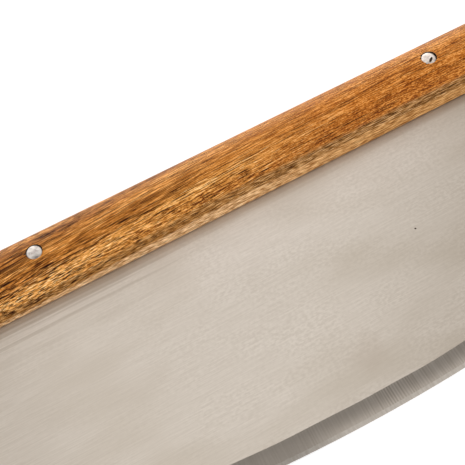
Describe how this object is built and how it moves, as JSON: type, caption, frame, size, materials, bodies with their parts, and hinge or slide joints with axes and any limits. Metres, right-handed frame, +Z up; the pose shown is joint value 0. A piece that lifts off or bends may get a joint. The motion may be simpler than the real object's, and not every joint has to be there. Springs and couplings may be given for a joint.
{
  "type": "rocker pizza cutter",
  "caption": "Rocking pizza cutter: a long curved steel blade with a ground edge, set in a slot in a round wooden bar handle and held by domed rivets.",
  "frame": {"origin": "middle of the cutter's footprint on the worktop it lies on", "axes": "+X along the handle, +Y from the cutting edge to the handle, +Z up from the worktop"},
  "size_m": [0.35, 0.1092, 0.025],
  "materials": {
    "wood": "oiled hardwood, satin",
    "blade_steel": "fine brushing along the handle, edge ground across",
    "rivet_metal": "bright satin"
  },
  "bodies": {
    "root": {"handle": "wood", "blade": "blade_steel", "rivet_left": "rivet_metal", "rivet_right": "rivet_metal"}
  },
  "joints": []
}
